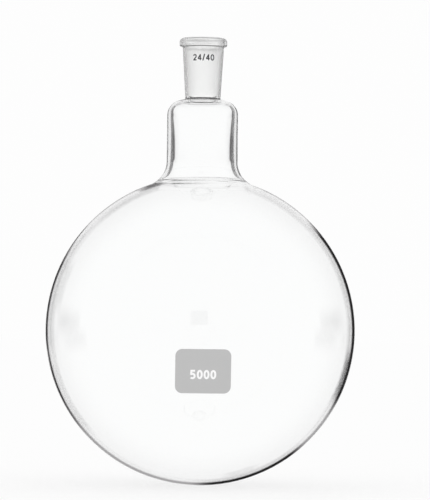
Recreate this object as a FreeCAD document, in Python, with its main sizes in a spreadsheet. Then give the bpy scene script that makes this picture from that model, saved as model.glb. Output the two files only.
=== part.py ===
import FreeCAD, Part
import math
import os
from enum import IntEnum

import Sketcher

# Single neck round bottom flask with a ground socket, in millimetres.
# +Z runs up the neck, and the origin is the lowest point of the bulb, on its axis.
# The front, where the enamel patch is fired on, faces -Y.

# Driving dimensions: alias, value, meaning.
DIMENSIONS = [
    ("bulb_diameter", 223.0, "outside of the blown bulb"),
    ("bulb_wall", 2.0, "thickness of the bulb"),
    ("neck_diameter", 51.2, "outside of the straight neck"),
    ("neck_wall", 2.4, "thickness of the neck and its shoulder"),
    ("root_radius", 18.0, "outside sweep from the bulb into the neck"),
    ("overall_height", 322.6, "lowest point of the bulb to the rim"),
    ("joint_skirt", 2.0, "clear glass from the ground taper down to the crease on the shoulder"),
    ("shoulder_drop", 2.7, "fall of the shoulder from that crease out to the side of the neck"),
    ("shoulder_radius", 11.0, "outside corner from the shoulder into the neck"),
    ("crease_radius", 1.5, "melted corner between the joint and the shoulder"),
    ("throat_radius", 1.2, "melted inner corner where the throat opens into the neck"),
    ("socket_diameter", 24.0, "wide end of the ground taper"),
    ("ground_length", 40.0, "length of the ground taper"),
    ("taper_ratio", 10.0, "length over which the taper narrows by one"),
    ("ground_inset", 2.2, "rim to the wide end of the ground taper"),
    ("joint_base_wall", 2.65, "thickness of the joint at the crease"),
    ("joint_top_wall", 3.1, "thickness of the joint under the lip"),
    ("lip_diameter", 34.3, "outside of the rolled lip"),
    ("lip_height", 6.1, "rim to the underside of the lip"),
    ("lip_top_radius", 2.6, "outer top corner of the lip"),
    ("lip_under_radius", 1.2, "outer lower corner of the lip"),
    ("lip_crease_radius", 0.8, "corner between the joint and the underside of the lip"),
    ("mouth_radius", 1.9, "inner top corner of the lip"),
    ("patch_width", 38.3, "enamel patch, across"),
    ("patch_height", 30.4, "enamel patch, up and down"),
    ("patch_corner", 4.8, "corner radius of the enamel patch"),
    ("patch_level", 83.6, "height of the middle of the enamel patch"),
    ("enamel_thickness", 0.1, "thickness of the fired enamel"),
]

# Sizes worked out from the driving ones: alias, formula, meaning.
WORKED = [
    ("bulb_radius", "Dimensions.bulb_diameter / 2", "outside of the bulb"),
    ("cavity_radius", "bulb_radius - Dimensions.bulb_wall", "inside of the bulb"),
    ("neck_radius", "Dimensions.neck_diameter / 2", "outside of the neck"),
    ("neck_bore", "neck_radius - Dimensions.neck_wall", "inside of the neck"),
    ("neck_foot", "bulb_radius + sqrt(bulb_radius^2 - neck_radius^2)", "neck meets bulb, outside"),
    ("bore_foot", "bulb_radius + sqrt(cavity_radius^2 - neck_bore^2)", "neck meets bulb, inside"),
    ("narrowing", "1 / (2 * Dimensions.taper_ratio)", "change of the taper's radius with height"),
    ("wide_end", "Dimensions.socket_diameter / 2", "radius of the taper's wide end"),
    ("throat_bore", "wide_end - Dimensions.ground_length * narrowing", "radius of the narrow end"),
    ("mouth_bore", "wide_end + Dimensions.ground_inset * narrowing", "bore at the rim"),
    ("ground_head", "Dimensions.overall_height - Dimensions.ground_inset", "top of the taper"),
    ("ground_foot", "ground_head - Dimensions.ground_length", "foot of the taper"),
    ("crease_level", "ground_foot - Dimensions.joint_skirt", "joint meets shoulder"),
    ("neck_head", "crease_level - Dimensions.shoulder_drop", "shoulder meets neck, outside"),
    ("lip_radius", "Dimensions.lip_diameter / 2", "outside of the lip"),
    ("lip_level", "Dimensions.overall_height - Dimensions.lip_height", "underside of the lip"),
    ("joint_foot", "throat_bore + Dimensions.joint_base_wall", "outside of the joint at the crease"),
    ("lip_bore", "wide_end - (ground_head - lip_level) * narrowing", "bore under the lip"),
    ("joint_head", "lip_bore + Dimensions.joint_top_wall", "outside of the joint under the lip"),
    ("shoulder_run", "neck_radius - joint_foot", "crease to the side of the neck"),
    ("shoulder_fall", "Dimensions.shoulder_drop / shoulder_run", "fall of the shoulder with radius"),
    ("shoulder_sink", "Dimensions.neck_wall * sqrt(1 + shoulder_fall^2)", "its wall, measured upright"),
    (
        "throat_foot",
        "crease_level + (joint_foot - throat_bore) * shoulder_fall - shoulder_sink",
        "throat meets shoulder, inside",
    ),
    (
        "bore_head",
        "crease_level + (joint_foot - neck_bore) * shoulder_fall - shoulder_sink",
        "shoulder meets neck, inside",
    ),
    ("rim_width", "lip_radius - mouth_bore", "flat of the rim before it is melted round"),
    ("lip_reach", "lip_radius - joint_head", "how far the lip stands out"),
    ("root_inside", "Dimensions.root_radius + Dimensions.neck_wall", "inside sweep into the neck"),
    ("shoulder_corner", "min(Dimensions.shoulder_radius; 0.9 * shoulder_run)", "outside corner"),
    ("shoulder_inside", "shoulder_corner - Dimensions.neck_wall", "inside corner"),
    ("lip_crease", "min(Dimensions.lip_crease_radius; 0.4 * lip_reach)", "corner under the lip"),
    (
        "lip_under",
        "min(Dimensions.lip_under_radius; 0.55 * lip_reach; 0.4 * Dimensions.lip_height)",
        "lower corner of the lip",
    ),
    (
        "lip_top",
        "min(Dimensions.lip_top_radius; 0.55 * rim_width; 0.55 * Dimensions.lip_height)",
        "top corner of the lip",
    ),
    ("mouth_corner", "min(Dimensions.mouth_radius; 0.4 * rim_width)", "inner corner of the rim"),
    ("bar_length", "bulb_radius + 2 * Dimensions.enamel_thickness", "axis to beyond the enamel"),
    ("enamel_radius", "bulb_radius + Dimensions.enamel_thickness", "outside of the enamel"),
    (
        "patch_rounding",
        "min(Dimensions.patch_corner; 0.45 * min(Dimensions.patch_width; Dimensions.patch_height))",
        "corner of the enamel patch",
    ),
]

# Each melted ring corner of the flask: feature, radius and height of the ring, radius of the rounding.
ROUNDINGS = [
    ("NeckRoot", "neck_radius", "neck_foot", "Dimensions.root_radius"),
    ("NeckRootInside", "neck_bore", "bore_foot", "Worked.root_inside"),
    ("ShoulderCorner", "neck_radius", "neck_head", "Worked.shoulder_corner"),
    ("ShoulderCornerInside", "neck_bore", "bore_head", "Worked.shoulder_inside"),
    ("JointCrease", "joint_foot", "crease_level", "Dimensions.crease_radius"),
    ("ThroatCorner", "throat_bore", "throat_foot", "Dimensions.throat_radius"),
    ("LipCrease", "joint_head", "lip_level", "Worked.lip_crease"),
    ("LipUnderCorner", "lip_radius", "lip_level", "Worked.lip_under"),
    ("LipTopCorner", "lip_radius", "rim", "Worked.lip_top"),
    ("MouthCorner", "mouth_bore", "rim", "Worked.mouth_corner"),
]

# A ring edge is known by its radius and height to within this distance.
RING_TOLERANCE = 1e-4


class Axis(IntEnum):
    """How a sketch numbers its own two axes."""

    ACROSS = -1
    UPRIGHT = -2


class Mark(IntEnum):
    """How a sketch numbers the points of an edge."""

    START = 1
    END = 2
    CENTRE = 3


# The sketch's origin is the first point of its axis across.
SKETCH_ORIGIN = (Axis.ACROSS, Mark.START)


def fill_sheet(doc, name, cells):
    """Adds a spreadsheet with one aliased cell for each row of the table."""
    sheet = doc.addObject("Spreadsheet::Sheet", name)
    for row, (alias, content, meaning) in enumerate(cells, start=1):
        sheet.set(f"A{row}", meaning)
        sheet.set(f"B{row}", str(content))
        sheet.setAlias(f"B{row}", alias)
    doc.recompute()
    return sheet


def new_sketch(body, name):
    """An empty sketch on the body's own upright plane, which looks out through the front."""
    sketch = body.newObject("Sketcher::SketchObject", name)
    plane = next(item for item in body.Origin.OriginFeatures if item.Role == "XZ_Plane")
    sketch.AttachmentSupport = [(plane, "")]
    sketch.MapMode = "FlatFace"
    return sketch


def bind(sketch, name, expression, kind, *geometry):
    """Adds a dimension of that kind between points or edges and ties it to a cell."""
    index = sketch.addConstraint(Sketcher.Constraint(kind, *geometry))
    sketch.renameConstraint(index, name)
    sketch.setExpression(f"Constraints.{name}", expression)


def add_arc(sketch, radius, middle, end):
    """An arc about a point of the upright axis, from its lowest point round to the end."""
    centre = FreeCAD.Vector(0, middle, 0)
    circle = Part.Circle(centre, FreeCAD.Vector(0, 0, 1), radius)
    finish = math.atan2(end.y - middle, end.x)
    return sketch.addGeometry(Part.ArcOfCircle(circle, -math.pi / 2, finish), False)


def draw_wall(sketch, rim, worked):
    """Draws the closed section of the wall with square corners and returns its edges by name."""
    corners = [
        FreeCAD.Vector(across, up, 0)
        for across, up in [
            (worked.neck_radius, worked.neck_foot),
            (worked.neck_radius, worked.neck_head),
            (worked.joint_foot, worked.crease_level),
            (worked.joint_head, worked.lip_level),
            (worked.lip_radius, worked.lip_level),
            (worked.lip_radius, rim),
            (worked.mouth_bore, rim),
            (worked.throat_bore, worked.ground_foot),
            (worked.throat_bore, worked.throat_foot),
            (worked.neck_bore, worked.bore_head),
            (worked.neck_bore, worked.bore_foot),
        ]
    ]
    names = ["neck", "shoulder", "joint", "underside", "lip", "top"]
    names += ["taper", "throat", "shoulder_inside", "neck_inside"]

    edges = {"bulb": add_arc(sketch, worked.bulb_radius, worked.bulb_radius, corners[0])}
    for name, begin, end in zip(names, corners, corners[1:]):
        edges[name] = sketch.addGeometry(Part.LineSegment(begin, end), False)
    edges["cavity"] = add_arc(sketch, worked.cavity_radius, worked.bulb_radius, corners[-1])
    lowest = FreeCAD.Vector(0, worked.bulb_radius - worked.cavity_radius, 0)
    edges["base"] = sketch.addGeometry(Part.LineSegment(lowest, FreeCAD.Vector()), False)

    chain = ["bulb"] + names
    meetings = [(before, Mark.END, after, Mark.START) for before, after in zip(chain, chain[1:])]
    meetings += [("neck_inside", Mark.END, "cavity", Mark.END), ("cavity", Mark.START, "base", Mark.START)]
    meetings += [("base", Mark.END, "bulb", Mark.START), ("cavity", Mark.CENTRE, "bulb", Mark.CENTRE)]
    for first, first_mark, second, second_mark in meetings:
        sketch.addConstraint(
            Sketcher.Constraint("Coincident", edges[first], first_mark, edges[second], second_mark)
        )
    return edges


def constrain_wall(sketch, edges, rim, worked):
    """Ties the section to the axis and each of its sizes to a cell."""
    sketch.addConstraint(Sketcher.Constraint("Coincident", edges["bulb"], Mark.START, *SKETCH_ORIGIN))
    sketch.addConstraint(Sketcher.Constraint("PointOnObject", edges["bulb"], Mark.CENTRE, Axis.UPRIGHT))
    for name in ("base", "neck", "lip", "throat", "neck_inside"):
        sketch.addConstraint(Sketcher.Constraint("Vertical", edges[name]))
    for name in ("underside", "top"):
        sketch.addConstraint(Sketcher.Constraint("Horizontal", edges[name]))
    shoulders = (edges["shoulder"], edges["shoulder_inside"])
    sketch.addConstraint(Sketcher.Constraint("Parallel", *shoulders))

    for name, edge in (("bulb_radius", "bulb"), ("cavity_radius", "cavity")):
        bind(sketch, name, f"Worked.{name}", "Radius", edges[edge], getattr(worked, name))
    across = [
        ("neck_radius", "neck", Mark.START),
        ("joint_foot", "joint", Mark.START),
        ("joint_head", "joint", Mark.END),
        ("lip_radius", "lip", Mark.START),
        ("mouth_bore", "top", Mark.END),
        ("throat_bore", "throat", Mark.START),
        ("neck_bore", "neck_inside", Mark.END),
    ]
    up = [
        ("neck_head", "neck", Mark.END),
        ("crease_level", "joint", Mark.START),
        ("lip_level", "lip", Mark.START),
        ("ground_foot", "throat", Mark.START),
    ]
    for kind, sizes in (("DistanceX", across), ("DistanceY", up)):
        for name, edge, mark in sizes:
            point = (edges[edge], mark, getattr(worked, name))
            bind(sketch, name, f"Worked.{name}", kind, *SKETCH_ORIGIN, *point)
    point = (edges["lip"], Mark.END, rim)
    bind(sketch, "rim", "Dimensions.overall_height", "DistanceY", *SKETCH_ORIGIN, *point)
    point = (edges["shoulder_inside"], Mark.END, edges["shoulder"], worked.neck_radius - worked.neck_bore)
    bind(sketch, "shoulder_wall", "Dimensions.neck_wall", "Distance", *point)


def ring_edge(shape, radius, height):
    """The name of the ring about the axis with that radius and height."""
    for number, edge in enumerate(shape.Edges, start=1):
        if edge.Degenerated or not isinstance(edge.Curve, Part.Circle):
            continue
        miss = max(abs(edge.Curve.Radius - radius), abs(edge.Curve.Center.z - height))
        if miss < RING_TOLERANCE:
            return f"Edge{number}"
    raise ValueError(f"no ring of radius {radius:.3f} at height {height:.3f}")


def make_flask(doc, rim, worked):
    """The flask: one blown wall turned about the axis, with its ring corners melted round."""
    body = doc.addObject("PartDesign::Body", "Flask")
    body.Label = "glass_flask"
    sketch = new_sketch(body, "WallSection")
    edges = draw_wall(sketch, rim, worked)
    constrain_wall(sketch, edges, rim, worked)
    doc.recompute()

    wall = body.newObject("PartDesign::Revolution", "BlownWall")
    wall.Profile = sketch
    wall.ReferenceAxis = (sketch, ["V_Axis"])
    wall.Angle = 360.0
    doc.recompute()

    last = wall
    for name, radius, height, expression in ROUNDINGS:
        ring_height = rim if height == "rim" else getattr(worked, height)
        ring = ring_edge(last.Shape, getattr(worked, radius), ring_height)
        rounding = body.newObject("PartDesign::Fillet", name)
        rounding.Base = (last, [ring])
        rounding.setExpression("Radius", expression)
        doc.recompute()
        last = rounding
    return body


def add_ball(doc, name, radius):
    """A ball about the middle of the bulb."""
    ball = doc.addObject("Part::Sphere", name)
    ball.setExpression("Radius", radius)
    ball.setExpression("Placement.Base.z", "Worked.bulb_radius")
    return ball


def make_bar(doc, size):
    """A bar with the patch's outline, from the axis out through the front of the bulb."""
    body = doc.addObject("PartDesign::Body", "PatchBar")
    sketch = new_sketch(body, "PatchOutline")
    half = size.patch_width / 2
    low = size.patch_level - size.patch_height / 2
    high = size.patch_level + size.patch_height / 2
    corners = [FreeCAD.Vector(x, y, 0) for x, y in [(-half, low), (half, low), (half, high), (-half, high)]]
    sides = [
        sketch.addGeometry(Part.LineSegment(begin, end), False)
        for begin, end in zip(corners, corners[1:] + corners[:1])
    ]
    for side, following in zip(sides, sides[1:] + sides[:1]):
        sketch.addConstraint(Sketcher.Constraint("Coincident", side, Mark.END, following, Mark.START))
    bottom, right, top, left = sides
    sketch.addConstraint(Sketcher.Constraint("Horizontal", top))
    for side in (left, right):
        sketch.addConstraint(Sketcher.Constraint("Vertical", side))
    bottom_ends = (bottom, Mark.START, bottom, Mark.END)
    right_ends = (right, Mark.START, right, Mark.END)
    sketch.addConstraint(Sketcher.Constraint("Symmetric", *bottom_ends, Axis.UPRIGHT))
    bind(sketch, "across", "Dimensions.patch_width", "DistanceX", *bottom_ends, 2 * half)
    bind(sketch, "upright", "Dimensions.patch_height", "DistanceY", *right_ends, high - low)
    lower_edge = "Dimensions.patch_level - Dimensions.patch_height / 2"
    bind(sketch, "lower_edge", lower_edge, "DistanceY", *SKETCH_ORIGIN, bottom, Mark.START, low)

    bar = body.newObject("PartDesign::Pad", "Bar")
    bar.Profile = sketch
    bar.setExpression("Length", "Worked.bar_length")
    doc.recompute()

    long_edges = [
        f"Edge{number}"
        for number, edge in enumerate(bar.Shape.Edges, start=1)
        if abs(edge.tangentAt(edge.FirstParameter).y) > 0.5
    ]
    corner = body.newObject("PartDesign::Fillet", "BarCorners")
    corner.Base = (bar, long_edges)
    corner.setExpression("Radius", "Worked.patch_rounding")
    doc.recompute()
    return body


def make_patch(doc, size):
    """The enamel patch: the part of a thin shell on the bulb that the bar covers."""
    shell = doc.addObject("Part::Cut", "EnamelShell")
    shell.Base = add_ball(doc, "EnamelOutside", "Worked.enamel_radius")
    shell.Tool = add_ball(doc, "EnamelInside", "Worked.bulb_radius")
    patch = doc.addObject("Part::Common", "Patch")
    patch.Label = "marking_patch"
    patch.Base = shell
    patch.Tool = make_bar(doc, size)
    doc.recompute()
    return patch


def check(doc, parts):
    """Stops if a feature failed, a sketch is loose, or a sub-part isn't one whole solid."""
    for item in doc.Objects:
        if "Invalid" in item.State or "Error" in item.State:
            raise RuntimeError(f"{item.Name} failed: {item.State}")
        if item.isDerivedFrom("Sketcher::SketchObject") and item.solve() != 0:
            raise RuntimeError(f"{item.Name} doesn't solve")
    for part in parts:
        shape = part.Shape
        if shape.isNull() or not shape.isValid() or len(shape.Solids) != 1:
            raise RuntimeError(f"{part.Label} isn't one valid solid")
        box = shape.BoundBox
        reach = f"{box.XLength:.2f} x {box.YLength:.2f} x {box.ZLength:.2f}"
        print(f"{part.Label}: {shape.Volume:.1f} mm3, {reach}")


def main():
    """Builds the document and writes each sub-part's shape."""
    doc = FreeCAD.newDocument("SingleNeckFlask")
    size = fill_sheet(doc, "Dimensions", DIMENSIONS)
    formulas = [(alias, f"={formula}", meaning) for alias, formula, meaning in WORKED]
    worked = fill_sheet(doc, "Worked", formulas)
    parts = [make_flask(doc, size.overall_height, worked), make_patch(doc, size)]
    check(doc, parts)
    os.makedirs("parts", exist_ok=True)
    for part in parts:
        part.Shape.exportStep(f"parts/{part.Label}.step")


main()
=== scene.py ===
import logging
import math
from dataclasses import dataclass
from enum import Enum
from typing import Optional

import bmesh
import bpy
import numpy as np
from mathutils import Matrix, Vector


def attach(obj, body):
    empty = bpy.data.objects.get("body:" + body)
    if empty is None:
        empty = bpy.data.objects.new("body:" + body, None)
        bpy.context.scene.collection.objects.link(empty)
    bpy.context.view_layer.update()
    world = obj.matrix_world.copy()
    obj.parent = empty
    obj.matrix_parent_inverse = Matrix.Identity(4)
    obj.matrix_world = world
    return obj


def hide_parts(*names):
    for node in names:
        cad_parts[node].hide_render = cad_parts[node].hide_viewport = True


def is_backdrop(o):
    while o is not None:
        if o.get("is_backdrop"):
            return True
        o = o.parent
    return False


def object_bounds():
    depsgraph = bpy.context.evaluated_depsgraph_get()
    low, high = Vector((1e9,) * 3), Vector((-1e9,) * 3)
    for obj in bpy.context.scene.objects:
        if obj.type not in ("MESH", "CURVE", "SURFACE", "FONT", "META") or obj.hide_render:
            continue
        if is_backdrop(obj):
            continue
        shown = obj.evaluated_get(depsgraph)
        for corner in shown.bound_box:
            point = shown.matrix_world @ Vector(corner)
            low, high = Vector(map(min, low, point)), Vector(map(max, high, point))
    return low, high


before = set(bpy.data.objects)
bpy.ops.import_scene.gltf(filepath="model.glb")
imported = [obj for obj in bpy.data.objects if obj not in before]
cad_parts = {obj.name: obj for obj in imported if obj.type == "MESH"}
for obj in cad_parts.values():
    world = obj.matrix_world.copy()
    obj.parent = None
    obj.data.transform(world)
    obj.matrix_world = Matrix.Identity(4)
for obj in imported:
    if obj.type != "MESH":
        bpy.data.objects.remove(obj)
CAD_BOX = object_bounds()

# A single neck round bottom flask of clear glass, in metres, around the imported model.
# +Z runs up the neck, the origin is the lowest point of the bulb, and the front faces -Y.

Array = np.ndarray
Point = tuple[float, float]
Colour = tuple[float, float, float]
Faces = list[list[int]]

MM = 0.001
SAME_POINT = 1e-6
BODY = "root"
log = logging.getLogger("flask")


def arc(centre: Point, radius: float, start: float, end: float, count: int) -> Array:
    """Points of a circular arc: the centre plus the radius times the cosine and sine of evenly spaced angles.

    Args:
        centre: Middle of the arc.
        radius: Radius of the arc.
        start: First angle, in radians from the first axis.
        end: Last angle, in radians.
        count: Number of points, both ends among them.

    Returns:
        The points, one row each.
    """
    angles = np.linspace(start, end, count)
    return np.array(centre) + radius * np.column_stack((np.cos(angles), np.sin(angles)))


def line(begin: Point, end: Point, count: int) -> Array:
    """Points of a straight run: the ends mixed by evenly spaced shares.

    Args:
        begin: First end.
        end: Last end.
        count: Number of points, both ends among them.

    Returns:
        The points, one row each.
    """
    share = np.linspace(0.0, 1.0, count)[:, None]
    return (1.0 - share) * np.array(begin) + share * np.array(end)


def rounding(before: Point, corner: Point, after: Point, radius: float, count: int) -> Array:
    """The arc that touches both sides of a corner.

    Each side is touched at the radius over the tangent of half the inner angle from the corner. The centre
    lies on the line that halves the angle, at the radius over the sine of that half.

    Args:
        before: A point on the side that comes in.
        corner: The corner itself.
        after: A point on the side that goes out.
        radius: Radius of the arc.
        count: Number of points on it.

    Returns:
        The points from the first side to the second.
    """
    incoming = np.subtract(before, corner) / np.linalg.norm(np.subtract(before, corner))
    outgoing = np.subtract(after, corner) / np.linalg.norm(np.subtract(after, corner))
    half = 0.5 * math.acos(float(np.clip(incoming @ outgoing, -1.0, 1.0)))
    middle = incoming + outgoing
    centre = np.array(corner) + middle / np.linalg.norm(middle) * radius / math.sin(half)
    first = np.array(corner) + incoming * radius / math.tan(half) - centre
    last = np.array(corner) + outgoing * radius / math.tan(half) - centre
    start = math.atan2(first[1], first[0])
    turn = math.atan2(first[0] * last[1] - first[1] * last[0], float(first @ last))
    return arc(tuple(centre), radius, start, start + turn, count)


def mesh_piece(name: str, points: Array, faces: Faces, smooth: bool = True) -> bpy.types.Object:
    """A mesh object at the origin, linked to the scene, whose place is in its mesh.

    Args:
        name: Name of the object and its mesh.
        points: Vertices in metres, one row each.
        faces: Lists of vertex numbers.
        smooth: Whether the faces are shaded smooth.

    Returns:
        The object.
    """
    mesh = bpy.data.meshes.new(name)
    mesh.from_pydata(points.tolist(), [], faces)
    mesh.polygons.foreach_set("use_smooth", [smooth] * len(mesh.polygons))
    mesh.update()
    piece = bpy.data.objects.new(name, mesh)
    bpy.context.scene.collection.objects.link(piece)
    return piece


def turn_outward(piece: bpy.types.Object) -> None:
    """Points every face of a closed mesh outwards.

    Args:
        piece: The object with the mesh.
    """
    shell = bmesh.new()
    shell.from_mesh(piece.data)
    bmesh.ops.recalc_face_normals(shell, faces=shell.faces)
    shell.to_mesh(piece.data)
    shell.free()


def ring_faces(rings: int, around: int) -> Array:
    """Quads between rings of a grid that closes on itself, each ring after the one before it.

    Args:
        rings: Number of rings.
        around: Number of points on a ring.

    Returns:
        Four vertex numbers for each quad, one row each.
    """
    ring, step = np.meshgrid(np.arange(rings - 1), np.arange(around), indexing="ij")
    beside = (step + 1) % around
    near, far = ring * around, (ring + 1) * around
    corners = (near + step, near + beside, far + beside, far + step)
    return np.stack(corners, axis=-1).reshape(-1, 4)


def closed_faces(rings: int, around: int) -> Faces:
    """Faces of a ring grid that is closed at both ends by a middle point.

    The two middle points come after the rings, the first ring's before the last ring's.

    Args:
        rings: Number of rings.
        around: Number of points on a ring.

    Returns:
        Vertex numbers of the quads and then of the triangles at the first and the last ring.
    """
    step = np.arange(around)
    beside = (step + 1) % around
    middle, last = rings * around, (rings - 1) * around
    first_fan = np.column_stack((np.full(around, middle), beside, step))
    last_fan = np.column_stack((np.full(around, middle + 1), last + step, last + beside))
    return ring_faces(rings, around).tolist() + first_fan.tolist() + last_fan.tolist()


class Nodes:
    """A short way to add and join the nodes of one node tree."""

    def __init__(self, tree: bpy.types.NodeTree) -> None:
        """Keeps a tree and takes every node out of it."""
        self.tree = tree
        tree.nodes.clear()

    def add(self, kind: str, **settings: object) -> bpy.types.Node:
        """Adds a node.

        Args:
            kind: Blender's name of the node type.
            settings: Input values by socket name, with _ for a space, and properties in lower case.

        Returns:
            The node.
        """
        node = self.tree.nodes.new(kind)
        for name, value in settings.items():
            socket = node.inputs.get(name.replace("_", " "))
            if socket is not None and name[0].isupper():
                socket.default_value = value
            else:
                setattr(node, name, value)
        return node

    def join(self, source: bpy.types.NodeSocket, target: bpy.types.NodeSocket) -> None:
        """Links an output to an input."""
        self.tree.links.new(source, target)


@dataclass(frozen=True)
class Grain:
    """A fine noise in the object's own coordinates that mottles a finish and lifts its surface."""

    scale: float
    detail: float
    roughness: float
    strength: float
    distance: float

    def material(self, name: str, low: Colour, high: Colour) -> tuple[bpy.types.Material, bpy.types.Node]:
        """A material whose colour and bump follow the noise.

        Args:
            name: Name of the material.
            low: Colour where the noise is nought.
            high: Colour where the noise is one.

        Returns:
            The material, and its surface node for the settings of the finish.
        """
        made = bpy.data.materials.new(name)
        made.use_nodes = True
        nodes = Nodes(made.node_tree)
        place = nodes.add("ShaderNodeTexCoord")
        noise = nodes.add(
            "ShaderNodeTexNoise", Scale=self.scale, Detail=self.detail, Roughness=self.roughness
        )
        colour = nodes.add("ShaderNodeMix", data_type="RGBA")
        colour.inputs["A"].default_value = (*low, 1.0)
        colour.inputs["B"].default_value = (*high, 1.0)
        bump = nodes.add("ShaderNodeBump", Strength=self.strength, Distance=self.distance)
        surface = nodes.add("ShaderNodeBsdfPrincipled")
        output = nodes.add("ShaderNodeOutputMaterial")
        nodes.join(place.outputs["Object"], noise.inputs["Vector"])
        nodes.join(noise.outputs["Fac"], colour.inputs["Factor"])
        nodes.join(colour.outputs["Result"], surface.inputs["Base Color"])
        nodes.join(noise.outputs["Fac"], bump.inputs["Height"])
        nodes.join(bump.outputs["Normal"], surface.inputs["Normal"])
        nodes.join(surface.outputs["BSDF"], output.inputs["Surface"])
        return made, surface


@dataclass(frozen=True)
class ClearGlass:
    """Fire polished borosilicate glass."""

    name: str = "clear_glass"
    tint: Colour = (0.995, 0.998, 0.997)
    index: float = 1.473

    def material(self) -> bpy.types.Material:
        """The glass as a smooth refracting surface.

        Returns:
            The material.
        """
        made = bpy.data.materials.new(self.name)
        made.use_nodes = True
        nodes = Nodes(made.node_tree)
        surface = nodes.add("ShaderNodeBsdfPrincipled")
        surface.inputs["Base Color"].default_value = (*self.tint, 1.0)
        surface.inputs["Roughness"].default_value = 0.0
        surface.inputs["IOR"].default_value = self.index
        surface.inputs["Transmission Weight"].default_value = 1.0
        output = nodes.add("ShaderNodeOutputMaterial")
        nodes.join(surface.outputs["BSDF"], output.inputs["Surface"])
        return made


@dataclass(frozen=True)
class PaintedCreaseShade:
    """Glass melted together at a crease, given a dark tint as painted shade for the dark line that refraction
    draws there.
    """

    name: str
    tint: Colour

    def material(self) -> bpy.types.Material:
        """The crease: the same glass with a dark tint of painted shade."""
        return ClearGlass(self.name, self.tint).material()


@dataclass(frozen=True)
class PaintedStreakGlass:
    """Glass with dark streaks of painted shade along the weld, which the mesh carries as a colour."""

    name: str = "painted_streak_glass"
    layer: str = "streak_shade"

    def material(self) -> bpy.types.Material:
        """The clear glass, with its tint read from the mesh.

        Returns:
            The material.
        """
        made = ClearGlass(self.name).material()
        tree = made.node_tree
        # Painted shade: the glass's colour comes from the dark streaks stored on the mesh.
        streak_shade = tree.nodes.new("ShaderNodeVertexColor")
        streak_shade.layer_name = self.layer
        tree.links.new(streak_shade.outputs["Color"], tree.nodes["Principled BSDF"].inputs["Base Color"])
        return made


@dataclass(frozen=True)
class GroundGlass:
    """The matt cone of the socket, ground with fine abrasive.

    Its index is below the glass's own, because the facets of a ground surface let steep rays out.
    """

    name: str = "ground_glass"
    pale: Colour = (1.0, 1.0, 1.0)
    deep: Colour = (0.99, 0.995, 0.985)
    roughness: float = 0.3
    index: float = 1.3
    grain: Grain = Grain(scale=900.0, detail=4.0, roughness=0.6, strength=0.04, distance=0.0001)

    def material(self) -> bpy.types.Material:
        """The ground surface: rough refraction with a fine speckle.

        Returns:
            The material.
        """
        made, surface = self.grain.material(self.name, self.deep, self.pale)
        surface.inputs["Roughness"].default_value = self.roughness
        surface.inputs["IOR"].default_value = self.index
        surface.inputs["Transmission Weight"].default_value = 1.0
        return made


@dataclass(frozen=True)
class FiredEnamel:
    """Satin enamel or ink, screened on and fired, with a fine grain."""

    name: str
    colour: Colour
    roughness: float = 0.5
    unevenness: float = 0.03
    grain: Grain = Grain(scale=1400.0, detail=3.0, roughness=0.55, strength=0.1, distance=0.00005)

    def material(self) -> bpy.types.Material:
        """The enamel: its colour a little uneven, with the grain of the fired powder.

        Returns:
            The material.
        """
        low = tuple(part * (1.0 - self.unevenness) for part in self.colour)
        high = tuple(part * (1.0 + self.unevenness) for part in self.colour)
        made, surface = self.grain.material(self.name, low, high)
        surface.inputs["Roughness"].default_value = self.roughness
        return made


@dataclass
class FlaskSizes:
    """Sizes of the blown wall, of its ground socket and of its bands of painted shade, in millimetres.

    The narrowing is the share by which the socket's radius falls with its depth. A ring further within the
    joint's outside than the inner depth belongs to its inside, and one within the outer slack to its outside.
    """

    bulb: float = 111.5
    bulb_wall: float = 2.0
    neck: float = 25.6
    neck_wall: float = 2.05
    roof_wall: float = 1.3
    neck_swell: float = 0.4
    weld_level: float = 218.7
    weld_height: float = 0.15
    weld_width: float = 0.8
    sweep: float = 18.0
    height: float = 322.6
    skirt: float = 2.0
    shoulder_drop: float = 2.7
    shoulder_corner: float = 11.0
    crease: float = 1.5
    throat_corner: float = 1.2
    socket: float = 12.0
    ground_length: float = 40.0
    narrowing: float = 0.05
    ground_inset: float = 2.2
    joint_base_wall: float = 2.65
    joint_top_wall: float = 3.1
    lip: float = 17.15
    lip_height: float = 6.1
    lip_top: float = 2.6
    lip_under: float = 1.2
    lip_crease: float = 0.8
    mouth_corner: float = 1.9
    clear_rim: float = 0.3
    shade_band_below: float = 0.6
    # The band of painted shade on the crease under the joint: how far below and above the crease it runs, and
    # how far out.
    shade_band_above: float = 0.75
    shade_band_reach: float = 2.3
    inner_depth: float = 1.0
    outer_slack: float = 0.1

    @property
    def ground_head(self) -> float:
        """Height of the wide end of the ground cone."""
        return self.height - self.ground_inset

    @property
    def ground_foot(self) -> float:
        """Height of the narrow end of the ground cone."""
        return self.ground_head - self.ground_length

    @property
    def throat(self) -> float:
        """Radius of the straight throat."""
        return self.socket - self.ground_length * self.narrowing

    @property
    def crease_level(self) -> float:
        """Height at which the joint stands on the shoulder."""
        return self.ground_foot - self.skirt

    @property
    def lip_level(self) -> float:
        """Height of the underside of the lip."""
        return self.height - self.lip_height

    @property
    def joint_foot(self) -> float:
        """Outside radius of the joint at the shoulder."""
        return self.throat + self.joint_base_wall

    @property
    def joint_head(self) -> float:
        """Outside radius of the joint under the lip."""
        return self.socket - (self.ground_head - self.lip_level) * self.narrowing + self.joint_top_wall

    def joint_radius(self, level: float) -> float:
        """Outside radius of the joint at a height."""
        share = (level - self.crease_level) / (self.lip_level - self.crease_level)
        return self.joint_foot + share * (self.joint_head - self.joint_foot)


class Zone(Enum):
    """The zones of the blown wall, by the place of their finish in its list of materials."""

    CLEAR = 0
    GROUND = 1
    # Painted shade: a dark tint on the crease under the joint, on the crease under the lip and in the weld's
    # streaks.
    PAINTED_CREASE = 2
    PAINTED_LIP = 3
    PAINTED_STREAK = 4


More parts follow.
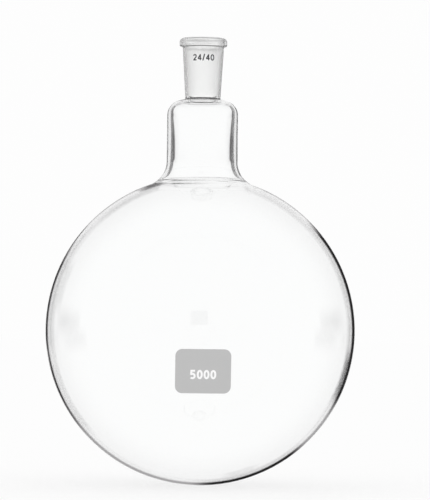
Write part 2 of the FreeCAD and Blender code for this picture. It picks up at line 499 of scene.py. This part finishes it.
@dataclass(frozen=True)
class PaintedStreak:
    """A dark streak of painted shade round part of the weld, where the weld's ridge draws dark lines by
    refraction.

    The level and width are in millimetres. The turns are in degrees round the axis, from the front
    towards the right: where the streak begins, where it is darkest, and where it has faded out. A
    strength over one widens the black middle.
    """

    strength: float
    level: float
    width: float
    begin: float
    darkest: float
    end: float


@dataclass
class GlassWall:
    """The whole flask as one blown wall, turned about the axis.

    The rings are finer over the streak zone, an angle of the bulb in radians just below the sweep. A quad
    whose corners are all clearer than the streak edge has no streak. The rows hold each ring's radius and
    height in millimetres, and the angles each point's turn in radians from the right towards the back.
    """

    sizes: FlaskSizes
    # Painted shade: dark streaks on the weld that stand in for the dark lines its ridge draws by refraction.
    painted_streaks: tuple[PaintedStreak, ...] = (
        PaintedStreak(strength=1.0, level=218.2, width=0.6, begin=-46.0, darkest=-38.0, end=12.0),
        PaintedStreak(strength=1.3, level=215.7, width=0.6, begin=-44.0, darkest=-30.0, end=10.0),
    )
    streak_zone: float = 0.1
    streak_edge: float = 0.98
    around: int = 240
    name: str = "flask_glass"
    # Painted shade: a near-black tint on the crease under the joint and a dark grey one on the crease under
    # the lip.
    crease_shade: PaintedCreaseShade = PaintedCreaseShade("painted_crease_shade", (0.02, 0.018, 0.02))
    faint: PaintedCreaseShade = PaintedCreaseShade("painted_lip_shade", (0.1, 0.1, 0.1))
    streak_shade_glass: PaintedStreakGlass = PaintedStreakGlass()
    rows: Optional[Array] = None
    angles: Optional[Array] = None
    piece: Optional[bpy.types.Object] = None

    def sweep(self, bulb: float, neck: float, radius: float) -> tuple[Point, float, float]:
        """The sweep that touches a ball of the bulb and the side of the neck.

        Its centre stands the sweep's radius out from the side of the neck, and the two radii added up away
        from the middle of the bulb.

        Args:
            bulb: Radius of the ball.
            neck: Radius of the neck.
            radius: Radius of the sweep.

        Returns:
            The centre of the sweep, the angle of its meeting with the ball seen from the middle of the
            bulb, and the same angle seen from the centre of the sweep.
        """
        out = neck + radius
        rise = math.sqrt((bulb + radius) ** 2 - out**2)
        angle = math.atan2(rise, out)
        return (out, self.sizes.bulb + rise), angle, angle - math.pi

    def outside(self) -> Array:
        """The outer half of the section, from the lowest point of the bulb up to the rim.

        Arcs of the bulb, the sweep, the shoulder's corner, the crease and the lip's corners, joined by
        straight runs.

        Returns:
            Radius and height of its points, one row each.
        """
        s = self.sizes
        middle = (0.0, s.bulb)
        centre, meeting, facing = self.sweep(s.bulb, s.neck, s.sweep)
        shoulder = (s.neck, s.crease_level - s.shoulder_drop)
        crease = (s.joint_foot, s.crease_level)
        under = (s.joint_head, s.lip_level)
        corner = (s.lip, s.lip_level)
        rim = (s.lip, s.height)
        fine = meeting - self.streak_zone
        return np.vstack((
            arc(middle, s.bulb, -math.pi / 2, fine, count=80)[:-1],
            arc(middle, s.bulb, fine, meeting, count=14)[:-1],
            arc(centre, s.sweep, facing, -math.pi, count=30),
            rounding((s.neck, centre[1]), shoulder, crease, s.shoulder_corner, count=20),
            rounding(shoulder, crease, under, s.crease, count=8),
            line(crease, under, count=6)[1:-1],
            rounding(crease, under, corner, s.lip_crease, count=6),
            rounding(under, corner, rim, s.lip_under, count=8),
            rounding(corner, rim, (0.0, s.height), s.lip_top, count=12),
        ))

    def inside(self) -> Array:
        """The inner half of the section, from the rim down to the bottom of the cavity.

        The mouth's corner, the socket's cone, the throat's corner, the underside of the shoulder, the bore,
        the sweep and the cavity. The shoulder's underside lies the roof's wall below its top, measured
        square to it.

        Returns:
            Radius and height of its points, one row each.
        """
        s = self.sizes
        cavity = s.bulb - s.bulb_wall
        bore = s.neck - s.neck_wall
        centre, meeting, facing = self.sweep(cavity, bore, s.sweep + s.neck_wall)
        fall = s.shoulder_drop / (s.neck - s.joint_foot)
        sink = s.roof_wall * math.sqrt(1.0 + fall**2)
        mouth = (s.socket + s.ground_inset * s.narrowing, s.height)
        foot = (s.throat, s.ground_foot)
        throat = (s.throat, s.crease_level + (s.joint_foot - s.throat) * fall - sink)
        shoulder = (bore, s.crease_level + (s.joint_foot - bore) * fall - sink)
        neck_foot = (bore, centre[1])
        rim = rounding((s.lip, s.height), mouth, foot, s.mouth_corner, count=10)
        cone = line((s.socket, s.ground_head), foot, count=24)
        turned = rounding(throat, shoulder, neck_foot, s.shoulder_corner - s.neck_wall, count=18)
        straight = line(tuple(turned[-1]), neck_foot, count=24)
        return np.vstack((
            rim,
            cone[cone[:, 1] < rim[-1, 1]],
            rounding(foot, throat, shoulder, s.throat_corner, count=8),
            self.swollen(np.vstack((turned, straight[1:]))),
            self.welded(arc(centre, s.sweep + s.neck_wall, -math.pi, facing, count=48)[1:]),
            arc((0.0, s.bulb), cavity, meeting, -math.pi / 2, count=84)[1:],
        ))

    def swollen(self, bore: Array) -> Array:
        """Thickens the wall towards the middle of the neck, as blowing leaves it.

        The bore moves inwards by the swell times one less the squared share. The share is the distance from
        the middle of the neck over half its length, and no more than one.

        Args:
            bore: Points of the shoulder's and the neck's inner side.

        Returns:
            The points moved inwards.
        """
        s = self.sizes
        head, foot = s.crease_level - s.shoulder_drop - s.shoulder_corner, bore[-1, 1]
        share = np.clip(np.abs(bore[:, 1] - (head + foot) / 2.0) / ((head - foot) / 2.0), 0.0, 1.0)
        return bore + np.column_stack((s.neck_swell * (share**2 - 1.0), np.zeros(len(bore))))

    def welded(self, sweep: Array) -> Array:
        """Raises the low ridge that joining the neck to the bulb leaves inside the sweep.

        The wall moves inwards and down by the ridge's height times a bell curve of the distance from the
        ridge's level.

        Args:
            sweep: Points of the sweep's inner side.

        Returns:
            The points with the ridge.
        """
        s = self.sizes
        ridge = s.weld_height * np.exp(-(((sweep[:, 1] - s.weld_level) / s.weld_width) ** 2))
        return sweep - np.column_stack((ridge, ridge))

    def clearness(self) -> Array:
        """How clear the outside is at each point of the grid, less than one in the weld's painted shade
        streaks.

        A streak is a bell curve of the height over its width. Round the axis it rises evenly to where it
        is darkest and falls evenly to its end. The turn from the front is the angle less 270 degrees,
        wrapped to half a turn either way.

        Returns:
            Clearness between nought and one, a row for each ring.
        """
        turn = (np.degrees(self.angles) + 270.0) % 360.0 - 180.0
        outer = (np.arange(len(self.rows)) < len(self.outside()))[:, None]
        clear = np.ones((len(self.rows), len(self.angles)))
        for streak in self.painted_streaks:
            bell = np.exp(-(((self.rows[:, 1:] - streak.level) / streak.width) ** 2))
            rise = np.clip((turn - streak.begin) / (streak.darkest - streak.begin), 0.0, 1.0)
            fall = np.clip((streak.end - turn) / (streak.end - streak.darkest), 0.0, 1.0)
            clear *= 1.0 - np.minimum(streak.strength * outer * bell * rise * fall, 1.0)
        return clear

    def zones(self, clear: Array) -> Array:
        """The zone of each quad between the rings.

        The socket is ground from its foot to just under the rim. The crease under the joint with the start of
        the shoulder and the crease under the lip take a dark tint as painted shade. A quad with a corner in a
        painted shade streak of the weld takes the streak.

        Args:
            clear: Clearness at each point of the grid.

        Returns:
            Values of the zones, ring by ring.
        """
        s = self.sizes
        radius, level = ((self.rows[:-1] + self.rows[1:]) / 2.0).T
        ground = (radius < s.joint_radius(level) - s.inner_depth) & (level > s.ground_foot)
        ground &= level < s.height - s.clear_rim
        # Painted shade: the masks of the dark bands on the crease under the joint and on the crease under the
        # lip.
        shaded_crease = (level > s.crease_level - s.shade_band_below) & (level < s.crease_level + s.shade_band_above)
        shaded_crease &= (radius > s.joint_foot - s.outer_slack) & (radius < s.joint_foot + s.shade_band_reach)
        lip = (level > s.lip_level - s.lip_crease) & (level < s.lip_level)
        lip &= radius > s.joint_head - s.outer_slack
        zone = np.full(len(radius), Zone.CLEAR.value)
        for place, kind in ((ground, Zone.GROUND), (shaded_crease, Zone.PAINTED_CREASE), (lip, Zone.PAINTED_LIP)):
            zone[place] = kind.value
        beside = np.roll(clear, -1, axis=1)
        least = np.minimum.reduce((clear[:-1], clear[1:], beside[:-1], beside[1:]))
        return np.where(least < self.streak_edge, Zone.PAINTED_STREAK.value, zone[:, None]).ravel()

    def build(self) -> "GlassWall":
        """Turns the section about the axis: radius times the cosine and sine of the angle, and the height.

        Returns:
            The wall itself.
        """
        section = np.vstack((self.outside(), self.inside()))
        apart = np.linalg.norm(np.diff(section, axis=0), axis=1) > SAME_POINT
        section = section[np.insert(apart, 0, True)]
        self.rows = section[1:-1]
        self.angles = np.linspace(0.0, 2.0 * math.pi, self.around, endpoint=False)
        radius, level = self.rows[:, :1], self.rows[:, 1:]
        circle = (radius * np.cos(self.angles), radius * np.sin(self.angles), level + 0.0 * self.angles)
        grid = np.stack(circle, axis=-1).reshape(-1, 3)
        poles = np.array([[0.0, 0.0, section[0, 1]], [0.0, 0.0, section[-1, 1]]])
        points = np.vstack((grid, poles)) * MM
        self.piece = mesh_piece(self.name, points, closed_faces(len(self.rows), self.around))
        return self

    def dress(self) -> "GlassWall":
        """Gives each zone its finish and the points their painted streak shade, and ties the piece to the
        frame.

        Returns:
            The wall itself.
        """
        mesh = self.piece.data
        for finish in (ClearGlass(), GroundGlass(), self.crease_shade, self.faint, self.streak_shade_glass):
            mesh.materials.append(finish.material())
        clear = self.clearness()
        zones = self.zones(clear)
        finishes = np.full(len(mesh.polygons), Zone.CLEAR.value, dtype=np.int32)
        finishes[: len(zones)] = zones
        mesh.polygons.foreach_set("material_index", finishes)
        # Painted shade: each point's clearness darkens the streaked glass's colour.
        streak_shade = np.ones((len(mesh.vertices), 4), dtype=np.float32)
        streak_shade[: clear.size, :3] = clear.reshape(-1, 1)
        layer = mesh.color_attributes.new(self.streak_shade_glass.layer, "FLOAT_COLOR", "POINT")
        layer.data.foreach_set("color", streak_shade.ravel())
        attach(self.piece, BODY)
        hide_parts("glass_flask")
        return self


class Surface(Enum):
    """The surface that a print is fired on."""

    BULB = "bulb"
    JOINT = "joint"


@dataclass(frozen=True)
class PrintPlace:
    """Where a print lies: the surface and the height of the print's middle, in millimetres."""

    sizes: FlaskSizes
    surface: Surface
    level: float

    def wrap(self, flat: Array) -> Array:
        """Lays flat points on the front of the flask.

        On the bulb a point keeps its sideways and upward place, and its depth is that of the ball of the
        bulb's radius plus the point's height. On the joint its sideways place is an arc length, the angle
        is that length over the joint's radius at its level, and the radius grows by the point's height.

        Args:
            flat: Points as sideways, upwards and out from the glass, in millimetres.

        Returns:
            The points in metres.
        """
        across, level, out = flat[:, 0], self.level + flat[:, 1], flat[:, 2]
        if self.surface is Surface.BULB:
            radius = self.sizes.bulb + out
            depth = np.sqrt(radius**2 - across**2 - (level - self.sizes.bulb) ** 2)
            return np.column_stack((across, -depth, level)) * MM
        radius = self.sizes.joint_radius(level)
        angle = across / radius
        return np.column_stack(((radius + out) * np.sin(angle), -(radius + out) * np.cos(angle), level)) * MM


@dataclass
class EnamelPatch:
    """The grey patch for notes: a thin layer with round corners, fired on the bulb.

    The layer gives the heights of its back and its front above the glass, and the edge how much lower the
    front is at the rim. The rings lie at shares of the way to the rim, even from the innermost to the first
    of the rim's shares.
    """

    place: PrintPlace
    width: float = 38.3
    height: float = 30.4
    corner: float = 4.8
    layer: tuple[float, float] = (0.012, 0.1)
    edge: float = 0.05
    rings: int = 24
    innermost: float = 0.04
    rim_shares: tuple[float, float, float] = (0.97, 0.992, 1.0)
    name: str = "grey_patch"
    finish: FiredEnamel = FiredEnamel("grey_enamel", (0.517, 0.517, 0.517))
    piece: Optional[bpy.types.Object] = None

    def outline(self) -> Array:
        """A rectangle with a quarter circle at each corner, anticlockwise, with points along its sides.

        Returns:
            Sideways and upward places in millimetres, one row each.
        """
        across, up = self.width / 2.0 - self.corner, self.height / 2.0 - self.corner
        middles = [(across, up), (-across, up), (-across, -up), (across, -up)]
        quarters = [
            arc(middle, self.corner, turn * math.pi / 2, (turn + 1) * math.pi / 2, count=13)
            for turn, middle in enumerate(middles)
        ]
        sides = [
            line(tuple(one[-1]), tuple(other[0]), count=24)[1:-1]
            for one, other in zip(quarters, quarters[1:] + quarters[:1])
        ]
        return np.vstack([part for pair in zip(quarters, sides) for part in pair])

    def build(self) -> "EnamelPatch":
        """The outline drawn in towards the middle ring by ring, once at the back and once at the front.

        Returns:
            The patch itself.
        """
        rim = self.outline()
        shares = np.concatenate(
            (np.linspace(self.innermost, self.rim_shares[0], self.rings), self.rim_shares[1:])
        )
        low, high = self.layer
        rise = np.full(len(shares), high)
        rise[-1] = high - self.edge
        back = [np.column_stack((share * rim, np.full(len(rim), low))) for share in shares]
        front = [
            np.column_stack((share * rim, np.full(len(rim), level))) for share, level in zip(shares, rise)
        ]
        flat = np.vstack(back + front[::-1] + [np.array([[0.0, 0.0, low], [0.0, 0.0, high]])])
        self.piece = mesh_piece(self.name, self.place.wrap(flat), closed_faces(2 * len(shares), len(rim)))
        turn_outward(self.piece)
        return self

    def dress(self) -> "EnamelPatch":
        """Gives the patch its enamel and ties it to the frame.

        Returns:
            The patch itself.
        """
        self.piece.data.materials.append(self.finish.material())
        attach(self.piece, BODY)
        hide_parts("marking_patch")
        return self


@dataclass(frozen=True)
class Stroke:
    """One pen stroke of a figure: a path in figure widths and heights, and whether it closes on itself."""

    path: Array
    closed: bool = False


class Figures:
    """Plain figures drawn with a pen of even width. Each is one unit wide and one unit tall."""

    @staticmethod
    def bowl(middle: Point, reach: Point, start: float, end: float, count: int = 24) -> Array:
        """An elliptic arc: the middle plus each reach times the cosine or sine of the angle, in degrees."""
        turn = np.radians(np.linspace(start, end, count))
        return np.column_stack((middle[0] + reach[0] * np.cos(turn), middle[1] + reach[1] * np.sin(turn)))

    @classmethod
    def strokes(cls, figure: str) -> list[Stroke]:
        """The strokes of a figure.

        Args:
            figure: One of 0, 2, 4, 5 and the slanting bar.

        Returns:
            Its strokes.
        """
        if figure == "0":
            return [Stroke(cls.bowl((0.5, 0.5), (0.5, 0.5), 0.0, 350.0, 36), closed=True)]
        if figure == "2":
            top = cls.bowl((0.47, 0.70), (0.45, 0.30), 165.0, -35.0)
            return [Stroke(np.vstack((top, [[0.08, 0.0]]))), Stroke(np.array([[-0.05, 0.0], [1.05, 0.0]]))]
        if figure == "4":
            return [
                Stroke(np.array([[0.74, 1.0], [0.02, 0.24]])),
                Stroke(np.array([[-0.06, 0.24], [1.12, 0.24]])),
                Stroke(np.array([[0.74, 1.08], [0.74, -0.08]])),
            ]
        if figure == "5":
            low = cls.bowl((0.38, 0.29), (0.56, 0.30), 120.0, -138.0)
            return [Stroke(np.array([[1.0, 1.0], [0.10, 1.0], [0.06, 0.42]])), Stroke(low)]
        return [Stroke(np.array([[0.0, -0.14], [1.0, 1.14]]))]

    @staticmethod
    def width(figure: str) -> float:
        """Width of a figure over that of a nought."""
        return 0.68 if figure == "/" else 1.0


@dataclass
class PrintedNumber:
    """A number printed on the flask with thin enamel.

    Tall and wide are the size of one figure, the pen is the width of a stroke, and the layer gives the
    heights of the print's back and front above the glass, all in millimetres.
    """

    name: str
    text: str
    place: PrintPlace
    finish: FiredEnamel
    tall: float
    wide: float
    gap: float
    pen: float
    layer: tuple[float, float]
    piece: Optional[bpy.types.Object] = None

    def ribbon(self, stroke: Stroke, left: float, wide: float) -> tuple[Array, Array]:
        """A stroke as a thin bar.

        At each point of the path the bar's sides lie half a pen width away along the mean of the two
        neighbouring normals, lengthened by one over the cosine of half the turn, so that corners stay
        sharp. Four rails, two below and two above, carry the faces.

        Args:
            stroke: The path.
            left: Sideways place of the figure's left edge, in millimetres.
            wide: Width of the figure, in millimetres.

        Returns:
            The rails' points, flat, and the quads between them.
        """
        reach = np.array([wide - self.pen, self.tall - self.pen])
        path = stroke.path * reach + np.array([left + self.pen / 2.0, (self.pen - self.tall) / 2.0])
        following = np.roll(path, -1, axis=0) - path
        if not stroke.closed:
            following[-1] = following[-2]
        ahead = following / np.linalg.norm(following, axis=1)[:, None]
        behind = np.roll(ahead, 1, axis=0)
        if not stroke.closed:
            behind[0] = ahead[0]
        mean = ahead + behind
        mean /= np.linalg.norm(mean, axis=1)[:, None]
        spread = self.pen / 2.0 / np.sum(mean * ahead, axis=1)
        side = np.column_stack((-mean[:, 1], mean[:, 0])) * spread[:, None]
        low, high = (np.full((len(path), 1), level) for level in self.layer)
        rails = [
            np.hstack((path + side, low)), np.hstack((path - side, low)),
            np.hstack((path - side, high)), np.hstack((path + side, high)),
        ]
        points = np.stack(rails, axis=1).reshape(-1, 3)
        faces = ring_faces(len(path) + int(stroke.closed), 4) % len(points)
        if not stroke.closed:
            end = len(points) - 4
            faces = np.vstack((faces, [[0, 1, 2, 3]], [[end + 3, end + 2, end + 1, end]]))
        return points, faces

    def build(self) -> "PrintedNumber":
        """Sets the figures side by side about the middle and lays them on the glass.

        Returns:
            The number itself.
        """
        widths = [self.wide * Figures.width(figure) for figure in self.text]
        left = -(sum(widths) + self.gap * (len(widths) - 1)) / 2.0
        points, faces, count = [], [], 0
        for figure, wide in zip(self.text, widths):
            for stroke in Figures.strokes(figure):
                rails, quads = self.ribbon(stroke, left, wide)
                points.append(rails)
                faces.extend((quads + count).tolist())
                count += len(rails)
            left += wide + self.gap
        self.piece = mesh_piece(self.name, self.place.wrap(np.vstack(points)), faces, smooth=False)
        turn_outward(self.piece)
        return self

    def dress(self) -> "PrintedNumber":
        """Gives the print its enamel and ties it to the frame.

        Returns:
            The number itself.
        """
        self.piece.data.materials.append(self.finish.material())
        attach(self.piece, BODY)
        return self


@dataclass
class PhotoCamera:
    """The camera of the photograph, level with the middle of the bulb.

    The turn goes round the flask and the roll round the line of sight, both in radians. A pixel is its size
    at the flask's distance in metres, and the middle of the bulb falls on the pixel given.
    """

    distance: float = 2.1
    turn: float = math.radians(1.25)
    roll: float = math.radians(0.65)
    pixel: float = 0.7217 * MM
    bulb_at: Point = (200.2, 330.5)
    frame_size: Point = (430.0, 500.0)
    sensor: float = 36.0
    farthest: float = 200.0

    def bulb_slopes(self) -> tuple[float, float]:
        """Slopes from the camera's axis to the middle of the bulb.

        Returns:
            The slope sideways and the slope upwards.
        """
        aside = (self.bulb_at[0] - self.frame_size[0] / 2.0) * self.pixel / self.distance
        above = (self.frame_size[1] / 2.0 - self.bulb_at[1]) * self.pixel / self.distance
        return aside, above

    def build(self, aim: Vector) -> bpy.types.Object:
        """Places the camera so that a point of the object falls on its pixel.

        Args:
            aim: The middle of the bulb.

        Returns:
            The camera object.
        """
        focal = self.distance / self.pixel
        lens = bpy.data.cameras.new("photo_camera")
        lens.sensor_width = self.sensor
        lens.lens = self.sensor * focal / max(self.frame_size)
        lens.clip_end = self.farthest
        level = Vector((math.sin(self.turn), math.cos(self.turn), 0.0))
        across = Vector((math.cos(self.turn), -math.sin(self.turn), 0.0))
        upright = Vector((0.0, 0.0, 1.0))
        right = math.cos(self.roll) * across + math.sin(self.roll) * upright
        upward = math.cos(self.roll) * upright - math.sin(self.roll) * across
        aside = self.frame_size[0] / 2.0 - self.bulb_at[0]
        above = self.bulb_at[1] - self.frame_size[1] / 2.0
        forward = (focal * level + aside * right + above * upward).normalized()
        right = (right - right.dot(forward) * forward).normalized()
        upward = right.cross(forward)
        camera = bpy.data.objects.new("photo_camera", lens)
        bpy.context.scene.collection.objects.link(camera)
        turn = Matrix((right, upward, -forward)).transposed().to_4x4()
        camera.matrix_world = Matrix.Translation(aim - self.distance * level) @ turn
        bpy.context.scene.camera = camera
        return camera


@dataclass(frozen=True)
class Shade:
    """A dark card round the view, as one is set beside glass to draw its edges.

    Directions are in degrees round the line of sight, from the right towards the top. Reaches are in
    degrees away from the line of sight to the middle of the bulb. The softness, the fade and the trail are
    the widths of the soft edges at the sides, at the near end and at the far end.
    """

    direction: float
    half_width: float
    softness: float
    near: float
    fade: float
    far: float
    depth: float
    trail: float = 4.0


@dataclass
class Surround:
    """A ring of dark cards with soft edges, far behind the flask and outside the view.

    The haze is how much a card darkens the ring on the way to its near end. The ring reaches from the
    lead-in before the haze to the rim, in degrees, and stands away from the camera, in metres. The darker a
    point of it is, the more of the tint it takes.
    """

    white: float
    shades: tuple[Shade, ...] = (
        Shade(direction=6.0, half_width=36.0, softness=10.0, near=11.2, fade=3.0, far=24.0, depth=0.97),
        Shade(direction=-12.0, half_width=13.0, softness=8.0, near=9.8, fade=2.0, far=14.0, depth=0.80),
        Shade(direction=-70.0, half_width=20.0, softness=10.0, near=9.9, fade=2.4, far=24.0, depth=0.96),
        Shade(direction=-85.0, half_width=60.0, softness=16.0, near=12.5, fade=3.0, far=24.0, depth=0.55),
        Shade(direction=180.0, half_width=32.0, softness=16.0, near=13.2, fade=3.0, far=21.5, depth=0.90),
        Shade(direction=18.0, half_width=26.0, softness=8.0, near=9.5, fade=1.6, far=15.0, depth=1.00),
        Shade(direction=162.0, half_width=25.0, softness=8.0, near=9.6, fade=1.6, far=15.0, depth=1.00),
        Shade(direction=205.0, half_width=14.0, softness=10.0, near=10.5, fade=3.0, far=22.0, depth=0.70),
        Shade(direction=90.0, half_width=10.0, softness=10.0, near=8.8, fade=2.0, far=13.0, depth=0.40),
        Shade(direction=56.0, half_width=12.0, softness=10.0, near=8.8, fade=2.0, far=15.0, depth=0.36),
        Shade(direction=122.0, half_width=14.0, softness=10.0, near=8.8, fade=2.0, far=15.0, depth=0.40),
        Shade(direction=106.0, half_width=6.0, softness=6.0, near=12.5, fade=2.0, far=28.0, depth=0.80),
        Shade(direction=-18.0, half_width=9.0, softness=8.0, near=23.0, fade=3.0, far=36.0, depth=0.85),
        Shade(
            direction=4.0, half_width=3.5, softness=10.0,
            near=50.0, fade=20.0, far=80.0, depth=0.85, trail=18.0,
        ),
        Shade(
            direction=176.0, half_width=3.5, softness=10.0,
            near=50.0, fade=20.0, far=80.0, depth=0.85, trail=18.0,
        ),
        Shade(
            direction=0.0, half_width=190.0, softness=2.0,
            near=30.0, fade=8.0, far=62.0, depth=0.08, trail=34.0,
        ),
    )
    haze: float = 0.05
    haze_from: float = 3.5
    lead_in: float = 1.0
    tint: Colour = (1.0, 0.965, 0.99)
    rim: float = 79.0
    away: float = 60.0
    around: int = 288
    rings: int = 120
    name: str = "dark_cards"
    layer: str = "shade"
    piece: Optional[bpy.types.Object] = None

    def brightness(self, direction: Array, reach: Array) -> Array:
        """How bright the ring is in each direction.

        A card is a soft window round its direction times a soft window over its reach. Each soft edge is
        the smooth step three t squared less two t cubed. The brightness is the product of one less each
        card's depth times its windows, and a faint haze leads up to the cards.

        Args:
            direction: Degrees round the line of sight.
            reach: Degrees away from it.

        Returns:
            Brightness between nought and one.
        """
        def step(value: Array) -> Array:
            """The smooth step from nought to one."""
            share = np.clip(value, 0.0, 1.0)
            return share * share * (3.0 - 2.0 * share)

        bright = np.ones_like(reach)
        haze = np.zeros_like(reach)
        for shade in self.shades:
            turn = np.abs((direction - shade.direction + 180.0) % 360.0 - 180.0)
            side = step((shade.half_width + shade.softness / 2.0 - turn) / shade.softness)
            rise = step((reach - shade.near + shade.fade / 2.0) / shade.fade)
            fall = step((shade.far + shade.trail / 2.0 - reach) / shade.trail)
            bright = bright * (1.0 - shade.depth * side * rise * fall)
            near = step((reach - self.haze_from) / (shade.near - self.haze_from)) * fall
            haze = np.maximum(haze, self.haze * side * near)
        return bright * (1.0 - haze)

    def build(self, camera: bpy.types.Object, aside: float, above: float) -> "Surround":
        """The ring as a polar grid: the tangent of the reach, turned round the line of sight.

        Args:
            camera: The camera that the ring follows.
            aside: Sideways slope from the camera's axis to the middle of the bulb.
            above: Upward slope to the same point.

        Returns:
            The surround itself.
        """
        turns = np.linspace(0.0, 360.0, self.around, endpoint=False)
        reaches = np.linspace(self.haze_from - self.lead_in, self.rim, self.rings)
        reach, turn = np.meshgrid(reaches, turns, indexing="ij")
        slope = np.tan(np.radians(reach))
        rays = (
            aside + slope * np.cos(np.radians(turn)),
            above + slope * np.sin(np.radians(turn)),
            np.full_like(reach, -1.0),
        )
        points = np.stack(rays, axis=-1).reshape(-1, 3) * self.away
        self.piece = mesh_piece(self.name, points, ring_faces(self.rings, self.around).tolist())
        self.piece.parent = camera
        bright = self.brightness(turn, reach).reshape(-1, 1)
        colours = np.ones((len(points), 4), dtype=np.float32)
        colours[:, :3] = self.white * bright * (1.0 - (1.0 - bright) * (1.0 - np.array(self.tint)))
        shade = self.piece.data.color_attributes.new(self.layer, "FLOAT_COLOR", "POINT")
        shade.data.foreach_set("color", colours.ravel())
        return self

    def dress(self) -> "Surround":
        """Lets the ring shine in the colours of its points, seen only through the glass and in it.

        Returns:
            The surround itself.
        """
        made = bpy.data.materials.new(self.name)
        made.use_nodes = True
        nodes = Nodes(made.node_tree)
        colour = nodes.add("ShaderNodeVertexColor", layer_name=self.layer)
        light = nodes.add("ShaderNodeEmission", Strength=1.0)
        output = nodes.add("ShaderNodeOutputMaterial")
        nodes.join(colour.outputs["Color"], light.inputs["Color"])
        nodes.join(light.outputs["Emission"], output.inputs["Surface"])
        ring = self.piece
        ring.data.materials.append(made)
        ring.visible_camera = False
        ring.visible_diffuse = False
        ring.visible_shadow = False
        ring.visible_volume_scatter = False
        ring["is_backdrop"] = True
        return self


@dataclass
class Stage:
    """A white world and a white floor that keeps a faint shadow."""

    white: float = 0.985
    floor_reach: float = 30.0
    floor_glow: float = 0.8

    def surround(self) -> None:
        """An even white world, which lights the flask from every side."""
        scene = bpy.context.scene
        scene.view_settings.view_transform = "Standard"
        world = bpy.data.worlds.new("surround")
        world.use_nodes = True
        nodes = Nodes(world.node_tree)
        light = nodes.add("ShaderNodeBackground", Color=(1.0, 1.0, 1.0, 1.0), Strength=self.white)
        output = nodes.add("ShaderNodeOutputWorld")
        nodes.join(light.outputs["Background"], output.inputs["Surface"])
        scene.world = world

    def floor(self) -> None:
        """The floor: a white matt sheet, most of whose white is its own glow, so the shadow stays faint."""
        corners = [[-1.0, -1.0, 0.0], [1.0, -1.0, 0.0], [1.0, 1.0, 0.0], [-1.0, 1.0, 0.0]]
        sheet = mesh_piece("floor", self.floor_reach * np.array(corners), [[0, 1, 2, 3]], smooth=False)
        made = bpy.data.materials.new("floor_white")
        made.use_nodes = True
        nodes = Nodes(made.node_tree)
        white = (self.white, self.white, self.white, 1.0)
        matt = nodes.add("ShaderNodeBsdfDiffuse", Color=white)
        glow = nodes.add("ShaderNodeEmission", Color=white, Strength=1.0)
        mixed = nodes.add("ShaderNodeMixShader", Fac=self.floor_glow)
        output = nodes.add("ShaderNodeOutputMaterial")
        nodes.join(matt.outputs["BSDF"], mixed.inputs[1])
        nodes.join(glow.outputs["Emission"], mixed.inputs[2])
        nodes.join(mixed.outputs["Shader"], output.inputs["Surface"])
        sheet.data.materials.append(made)
        sheet.visible_transmission = False
        sheet.visible_glossy = False
        sheet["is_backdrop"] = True


def keep_sizes() -> None:
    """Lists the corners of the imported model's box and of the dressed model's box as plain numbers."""
    boxes = {"cad": CAD_BOX, "visual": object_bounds()}
    plain = {name: [list(corner) for corner in box] for name, box in boxes.items()}


def main() -> None:
    """Builds and dresses the flask's pieces, the camera and the stage in order."""
    logging.basicConfig(level=logging.INFO, format="%(name)s: %(message)s")
    sizes = FlaskSizes()
    parts = (
        GlassWall(sizes),
        EnamelPatch(PrintPlace(sizes, Surface.BULB, level=83.6)),
        PrintedNumber(
            name="volume_number",
            text="5000",
            place=PrintPlace(sizes, Surface.BULB, level=81.4),
            finish=FiredEnamel("white_enamel", (0.98, 0.98, 0.98)),
            tall=6.4,
            wide=4.1,
            gap=0.55,
            pen=1.35,
            layer=(0.08, 0.13),
        ),
        PrintedNumber(
            name="taper_number",
            text="24/40",
            place=PrintPlace(sizes, Surface.JOINT, level=307.8),
            finish=FiredEnamel("dark_enamel", (0.035, 0.035, 0.04)),
            tall=4.6,
            wide=3.1,
            gap=0.4,
            pen=0.84,
            layer=(0.012, 0.06),
        ),
    )
    for part in parts:
        part.build().dress()
        log.info("%s: %d faces", part.name, len(part.piece.data.polygons))
    eye = PhotoCamera()
    camera = eye.build(Vector((0.0, 0.0, sizes.bulb * MM)))
    stage = Stage()
    Surround(stage.white).build(camera, *eye.bulb_slopes()).dress()
    stage.surround()
    stage.floor()
    keep_sizes()


if __name__ == "__main__":
    main()
